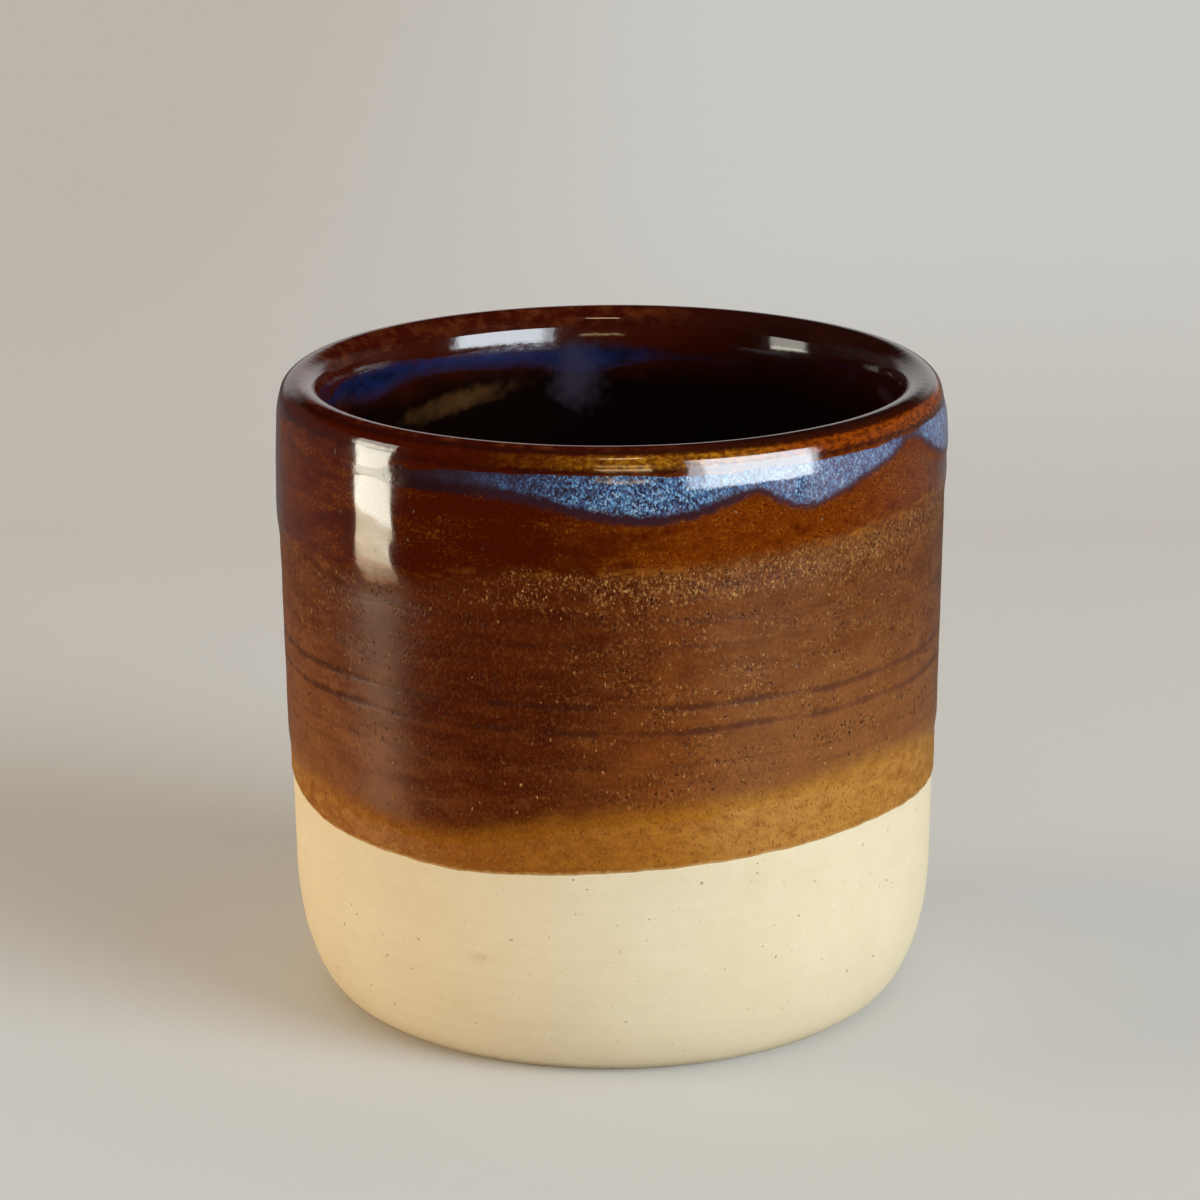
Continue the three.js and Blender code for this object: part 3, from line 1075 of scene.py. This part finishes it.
dips = {
    "firstDip": {
        "piece": "firstDipGlaze", "node": "first_dip_glaze", "slot": "ochre_glaze", "edge": "glazeLine",
        "columns": 512, "rows": 48, "under": [], "feather": 0.5, "roundEdge": True,
        "rowsTo": [(0, "glazeLine", 0), (0.2, "glazeLine", 0.6), (0.75, "secondDip", 1.5), (1, None, lipRow)],
    },
    "secondDip": {
        "piece": "secondDipGlaze", "node": "second_dip_glaze", "slot": "brown_glaze", "edge": "secondDip",
        "columns": 320, "rows": 140, "under": ["firstDip"], "feather": 2.4, "roundEdge": False,
        "rowsTo": [(0, "secondDip", 0), (0.07, "secondDip", 1.8), (0.27, None, 32.2), (0.56, None, 36.6),
                   (0.93, "rimDip", 1.6), (1, None, lipRow)],
    },
    "rimDip": {
        "piece": "rimDipGlaze", "node": "rim_dip_glaze", "slot": "gloss_brown_glaze", "edge": "rimDip",
        "columns": 384, "rows": 80, "under": ["firstDip", "secondDip"], "feather": 3.2, "roundEdge": False,
        "rowsTo": [(0, "rimDip", 0), (0.2, "rimDip", 2.4), (0.8, "blueLow", 0.8), (1, None, lipRow)],
    },
}
fullCover = {"least": 0.02, "most": 1.25}  # shares of a coat's thickness


def coverOf(coat, azimuth, level):
    # 0 at the coat's edge and 1 where it has its full thickness
    above = level - edgeAt(dips[coat]["edge"], azimuth)
    if dips[coat]["roundEdge"]:
        return np.sqrt(np.clip(above / dips[coat]["feather"], 0, 1))
    return smoothStep(above, 0, dips[coat]["feather"])


def outsideRadius(azimuth, level, coats):
    # surface of the wall once the named coats are on it
    across = clayWall(level) + throwingMarks(azimuth, level)
    for coat in coats:
        across = across + coatThickness[coat] * coverOf(coat, azimuth, level)
    return across


def makeDip(name):
    dip = dips[name]
    bottom = min(height for azimuth, height in edges[dip["edge"]])
    ring = ringOfRows(dip["piece"], dip["columns"], dip["rows"], bottom, lipRow)
    azimuth, _, level = readPlaces(ring)
    stops = [
        (share, (edgeAt(edge, azimuth) if edge else 0 * azimuth) + above)
        for share, edge, above in dip["rowsTo"]
    ]
    level = rowHeights((level - bottom) / (lipRow - bottom), stops)
    setPlaces(ring, azimuth, outsideRadius(azimuth, level, dip["under"]) - cup["tuck"], level)
    addAttributes(
        ring,
        aboveEdge=level - edgeAt(dip["edge"], azimuth),
        belowGloss=edgeAt("rimDip", azimuth) - level,
        warmth=aroundCup(glazeWarmth, azimuth),
    )
    most = fullCover["most"]
    swell = 1 + lumps(azimuth, level) * smoothStep(lipRow - level, 0, 1) / coatThickness[name]
    weights = np.clip(coverOf(name, azimuth, level) * swell, fullCover["least"], most) / most
    thicken(ring, (coatThickness[name] + cup["tuck"]) * most, weights, 1)
    settle(ring, dip["node"], materials[name])


for name in dips:
    makeDip(name)


# The blue runs, outside and in the bore

blueRuns = {
    "outside": {
        "piece": "outerBlueBand", "node": "outer_blue_band", "low": "blueLow", "top": "blueTop",
        "columns": 512, "rows": 44, "feather": 1.5, "fill": 1.0, "fringe": 0.85,
    },
    "inside": {
        "piece": "innerBlueBand", "node": "inner_blue_band", "low": "innerBlueLow", "top": "innerBlueTop",
        "columns": 384, "rows": 36, "feather": 2.0, "fill": 0.4, "fringe": 0.4,
    },
    "topFeather": 2.2,
}


def makeBlueRun(side):
    run = blueRuns[side]
    ring = ringOfRows(run["piece"], run["columns"], run["rows"], 0, 1)
    azimuth, _, share = readPlaces(ring)
    low, top = edgeAt(run["low"], azimuth) - run["fringe"], edgeAt(run["top"], azimuth)
    level = low + (top - low) * share
    strength = aroundCup(blueStrength[side], azimuth)
    if side == "outside":
        seat = outsideRadius(azimuth, level, list(dips)) - cup["tuck"]
    else:
        seat = boreRadius(level) + cup["tuck"]
        flipFaces(ring)
    setPlaces(ring, azimuth, seat, level)
    warmth = aroundCup(glazeWarmth, azimuth)
    addAttributes(ring, aboveEdge=level - low, belowTop=top - level, strength=strength, warmth=warmth)
    bead = smoothStep(level - low, 0, run["feather"]) * smoothStep(top - level, 0, blueRuns["topFeather"])
    pooled = lumps(azimuth, level) / coatThickness["blueRun"]
    cover = run["fill"] * bead * (0.1 + 0.9 * np.clip(strength, 0, 1) + pooled)
    weights = np.clip(cover, fullCover["least"], 1)
    thicken(ring, coatThickness["blueRun"] + cup["tuck"], weights, 1)
    settle(ring, run["node"], materials["blue" + side.capitalize()])


makeBlueRun("outside")


# The liner glaze over floor and bore

liner = {
    "columns": 384, "floorRows": 16, "cornerRows": 14, "boreRows": 84,
    "rippleDepth": 0.035, "rippleSize": 9, "ringDepth": 0.02, "ringPitch": 6.3, "ringsFrom": 6,
    "swirlDepth": 0.12, "swirlPitch": 4.5,
}


def turnUp(piece, face):
    # turns the piece's faces over where this one looks down
    if face.normal.z < 0:
        flipFaces(piece)


def makeLiner():
    floor = cup["floorThickness"] + coatThickness["liner"]
    radius = cup["cavityCorner"] - coatThickness["liner"]
    cornerMiddle = float(boreRadius(cavityTurn)) - radius
    outline = [(r, floor) for r in np.linspace(0, cornerMiddle, liner["floorRows"])]
    outline += [
        (cornerMiddle + radius * math.sin(a), cavityTurn - radius * math.cos(a))
        for a in np.linspace(0, math.pi / 2, liner["cornerRows"])[1:]
    ]
    outline += outlinePoints(boreRadius, np.linspace(cavityTurn, lipRow, liner["boreRows"])[1:])
    inside = spunOutline("linerGlaze", np.array(outline), liner["columns"])
    azimuth, across, level = readPlaces(inside)
    onWall = level > cavityTurn
    ripple = liner["rippleDepth"] * grain(azimuth, level, liner["rippleSize"], 0.8, 61)
    ripple += liner["ringDepth"] * spiral(azimuth, level, liner["ringPitch"])
    fade = smoothStep(level, cavityTurn, cavityTurn + liner["ringsFrom"])
    fade = fade * (1 - smoothStep(level, lipRow - 3, lipRow))
    dish = liner["swirlDepth"] * spiral(azimuth, across, liner["swirlPitch"])
    dish = dish * smoothStep(across, 1, 4) * (1 - smoothStep(across, 14, 18))
    level = np.where(level < floor + 0.5, level + dish, level)
    across = np.where(onWall, across + ripple * fade, across)
    setPlaces(inside, azimuth, across, level)
    middle = Vector((0, 0, floor * mm))
    turnUp(inside, min(inside.data.polygons, key=lambda face: (face.center - middle).length))
    thicken(inside, coatThickness["liner"], np.ones(len(azimuth)), -1)
    settle(inside, "liner_glaze", materials["liner"])


makeLiner()
makeBlueRun("inside")


# The thin coat over the rounded lip

lipCoat = {"columns": 384, "rows": 48, "swell": 0.4, "waveHeight": 0.03, "waveSize": 11}


def dippedWall(level):
    return clayWall(level) + sum(coatThickness[coat] for coat in dips)


def makeLip():
    # the outline starts on the rim dip and ends on the liner, both cut level at the lip row
    wall = outlinePoints(dippedWall, (lipRow - 2.4, lipRow - 1.2, lipRow))
    outline = alongOutline(wall + lipLine, 800)
    crown = int(np.argmax(outline[:, 1]))
    start = int(np.argmin(abs(outline[:crown, 1] - lipRow)))
    end = crown + int(np.argmin(abs(outline[crown:, 1] - lipRow)))
    kept = outline[np.linspace(start, end, lipCoat["rows"]).round().astype(int)]
    outer, inner = float(dippedWall(lipRow)), float(boreRadius(lipRow))
    kept[0] = (outer, lipRow)
    kept[-1] = (inner, lipRow)
    coat = spunOutline("lipGlaze", kept, lipCoat["columns"])
    azimuth, across, level = readPlaces(coat)
    turnUp(coat, max(coat.data.polygons, key=lambda face: face.center.z))
    over = np.clip((outer - across) / (outer - inner), 0, 1)
    addAttributes(coat, overLip=over)
    onCrown = smoothStep(over, 0.02, 0.3) * (1 - smoothStep(over, 0.7, 0.98))
    across = across + throwingMarks(azimuth, lipRow + 0 * level) * (1 - smoothStep(over, 0.0, 0.5))
    level = level + lipCoat["waveHeight"] * grainRound(azimuth, lipCoat["waveSize"], 71) * onCrown
    across = across + lipCoat["swell"] * lumps(azimuth, level) * onCrown
    setPlaces(coat, azimuth, across, level)
    thicken(coat, coatThickness["lip"], np.ones(len(over)), -1)
    settle(coat, "lip_glaze", materials["lip"])


makeLip()


# Table and background

table = {
    "size": 8000,
    # the tones darken at mid-depth and the left tone is darker and warmer: painted light falloff and a
    # painted shadow that spreads to the left
    "tones": [(0.0, paint(209, 208, 208)), (0.5, paint(198, 194, 193)), (1.0, paint(206, 207, 210))],
    "leftShadowTone": paint(190, 182, 177),
    "roughness": 0.9,
}


def makeTable():
    size = table["size"] * mm
    floor = startPiece("tableTop", bpy.ops.mesh.primitive_plane_add, size=size, location=(0, 0, 0))
    material, position = startMaterial("paleTable", table["leftShadowTone"])
    away = ramp(partOf(position, 1), -80.0, 400.0)
    # painted shadow, darker and warmer towards the left at mid-depth
    leftShadow = ramp(partOf(position, 0), 40.0, -90.0, 0.0, 0.8) * away
    colour = mixColour(leftShadow, colourSteps(away, table["tones"]), table["leftShadowTone"])
    sockets = {"Base Color": colour, "Roughness": table["roughness"], "Specular IOR Level": 0.0}
    floor.data.materials.append(finishMaterial(material, sockets))
    floor.visible_glossy = False


makeTable()


# Light

room = {
    "gloss": (1.0, 0.97, 0.95, 1),
    "glossAbove": 0.75,
    "glossBelow": 0.14,
    "glossAside": 0.1,
    "background": paint(193, 191, 188),
}
# each strip of a card: bottom, top, brightness and colour
cards = {
    "leftCard": {
        "place": (-213.8, -27.4), "width": 75, "turn": -50.6,
        "strips": [
            (-65, -45, 5, (1, 0.74, 0.46)), (-45, -28, 4.9, (1, 0.76, 0.48)), (-28, -14, 4.4, (1, 0.76, 0.5)),
            (-14, -6, 5.2, (1, 0.78, 0.52)), (-6, -1.5, 6.8, (1, 0.83, 0.54)), (-1.5, 5, 8, (1, 0.86, 0.59)),
            (5, 80, 13, (1, 0.97, 0.8)), (80, 125, 6, (1, 0.96, 0.85)),
        ],
    },
    "rightCard": {
        "place": (197, -157), "width": 190, "turn": 24.8,
        "strips": [(54, 154, 9, (0.84, 0.93, 1))],
    },
    "rightCardRim": {
        "place": (196, -156), "width": 228, "turn": 24.8,
        "strips": [(58, 160, 8, (0.82, 0.92, 1))],
    },
    "goldCard": {
        "place": (14, -200), "width": 60, "turn": 4,
        "strips": [(98, 104, 10, (1, 0.72, 0.36)), (294, 334, 15, (1, 0.74, 0.4))],
    },
}
# azimuth, elevation, spread, strength and colour
suns = {
    "sky": (0, 90, 160, 1.86, (1, 0.92, 0.8)),
    "frontFill": (-8, 6, 60, 0.24, (1, 0.95, 0.88)),
    "keyWindow": (57, 25, 36, 2.4, (0.76, 0.92, 1)),
    "warmFill": (-90, 9, 30, 1.85, (1, 0.78, 0.43)),
}


def makeRoom():
    # seen by the camera and in gloss: dark in front and overhead, pale beside and behind
    world = bpy.data.worlds.new("paleRoom")
    bpy.context.scene.world = world
    world.use_nodes = True
    world.cycles_visibility.diffuse = False
    tree = world.node_tree
    direction = Wire(addNode("ShaderNodeTexCoord", {}, tree), "Generated")
    across, back, rise = (partOf(direction, axis) for axis in range(3))
    aside = ramp(abs(across), 0.32, 0.55)
    above = aside * (room["glossAside"] - room["glossAbove"]) + room["glossAbove"]
    below = aside * (room["glossAside"] - room["glossBelow"]) + room["glossBelow"]
    up = mixValue(ramp(rise, -0.06, 0.06), below, above)
    gloss = ramp(back, -0.25, 0.4) * up * ramp(rise, 0.23, 0.4, 1.0, 0.0)
    gloss = gloss * ramp(across, -0.3, 0.3, 0.75, 1.1)
    toCamera = Wire(addNode("ShaderNodeLightPath", {}, tree), "Is Camera Ray")
    feed(tree.nodes["Background"], "Color", mixColour(toCamera, room["gloss"], room["background"]))
    feed(tree.nodes["Background"], "Strength", mixValue(toCamera, gloss, 1.0))


def placeLamp(name, light, place, towards):
    holder = bpy.data.objects.new(name, light)
    bpy.context.scene.collection.objects.link(holder)
    holder.location = place
    holder.rotation_euler = towards.to_track_quat("-Z", "Y").to_euler()
    holder.visible_camera = False
    return holder


def makeCard(name):
    # upright cards that are seen only in the gloss of the glaze, in level strips
    card = cards[name]
    turn = math.radians(card["turn"])
    towards = Vector((-math.sin(turn), math.cos(turn), 0))
    if towards.dot(Vector((*card["place"], 0))) > 0:
        towards.negate()
    for bottom, top, brightness, colour in card["strips"]:
        light = bpy.data.lights.new(name, "AREA")
        light.shape = "RECTANGLE"
        light.size, light.size_y = card["width"] * mm, (top - bottom) * mm
        light.energy = brightness * math.pi * light.size * light.size_y
        light.color = colour
        place = Vector((*card["place"], (top + bottom) / 2)) * mm
        placeLamp(name, light, place, towards).visible_diffuse = False


def makeSun(name):
    azimuth, elevation, spread, strength, colour = suns[name]
    light = bpy.data.lights.new(name, "SUN")
    light.angle = math.radians(spread)
    light.energy = strength
    light.color = colour
    turn, rise = math.radians(azimuth), math.radians(elevation)
    away = Vector((math.sin(turn) * math.cos(rise), -math.cos(turn) * math.cos(rise), math.sin(rise)))
    placeLamp(name, light, away, -away).visible_glossy = False


makeRoom()
for name in cards:
    makeCard(name)
for name in suns:
    makeSun(name)
print("lights placed")


# Camera

view = {
    "place": (0, -385.402, 147.515),
    "target": (0, 0, 29.346),
    "lens": 128.724,
    "sensor": 36,
    "near": 10,
    "far": 20000,
    "turnRight": 0.157,
    "tiltUp": 1.011,
    "roll": -0.268,
}


def makeCamera():
    camera = bpy.data.cameras.new("camera")
    camera.lens = view["lens"]
    camera.sensor_width = view["sensor"]
    camera.clip_start, camera.clip_end = view["near"] * mm, view["far"] * mm
    holder = bpy.data.objects.new("camera", camera)
    bpy.context.scene.collection.objects.link(holder)
    place, target = Vector(view["place"]) * mm, Vector(view["target"]) * mm
    facing = (target - place).to_track_quat("-Z", "Y")
    facing = facing @ Quaternion((0, 1, 0), math.radians(view["turnRight"]))
    facing = facing @ Quaternion((1, 0, 0), math.radians(view["tiltUp"]))
    facing = facing @ Quaternion((0, 0, 1), math.radians(view["roll"]))
    holder.location = place
    holder.rotation_mode = "QUATERNION"
    holder.rotation_quaternion = facing
    bpy.context.scene.camera = holder


makeCamera()
bpy.context.scene.view_settings.view_transform = "Standard"

print("scene ready")
